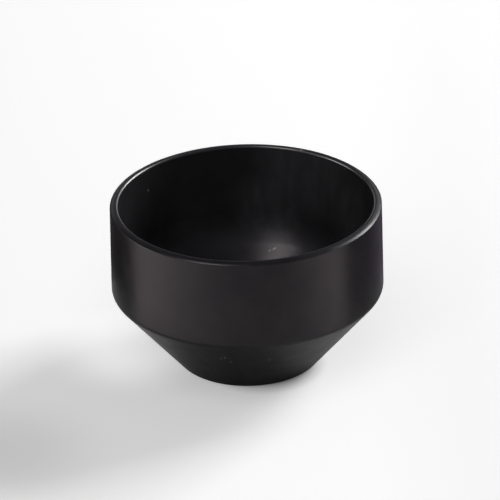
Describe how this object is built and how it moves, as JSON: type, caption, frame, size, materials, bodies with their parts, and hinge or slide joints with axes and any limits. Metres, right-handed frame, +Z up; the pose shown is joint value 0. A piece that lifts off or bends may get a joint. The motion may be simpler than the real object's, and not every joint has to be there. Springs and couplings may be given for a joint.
{
  "type": "hair color bowl",
  "caption": "Round, open mixing bowl: an upright band over a cone that narrows to a small rounded foot, with a soft non-slip ring set in its underside.",
  "frame": {"origin": "centre of the flat underside of the non-slip ring, the face that the bowl stands on", "axes": "+Z up along the bowl's own axis, out of its mouth. The bowl is round, so X and Y have no landmark."},
  "size_m": [0.111, 0.111, 0.07],
  "materials": {
    "bowl_plastic": "satin black, with a fine moulded grain",
    "ring_rubber": "dull"
  },
  "bodies": {
    "root": {"bowl": "bowl_plastic", "non_slip_ring": "ring_rubber"}
  },
  "joints": []
}
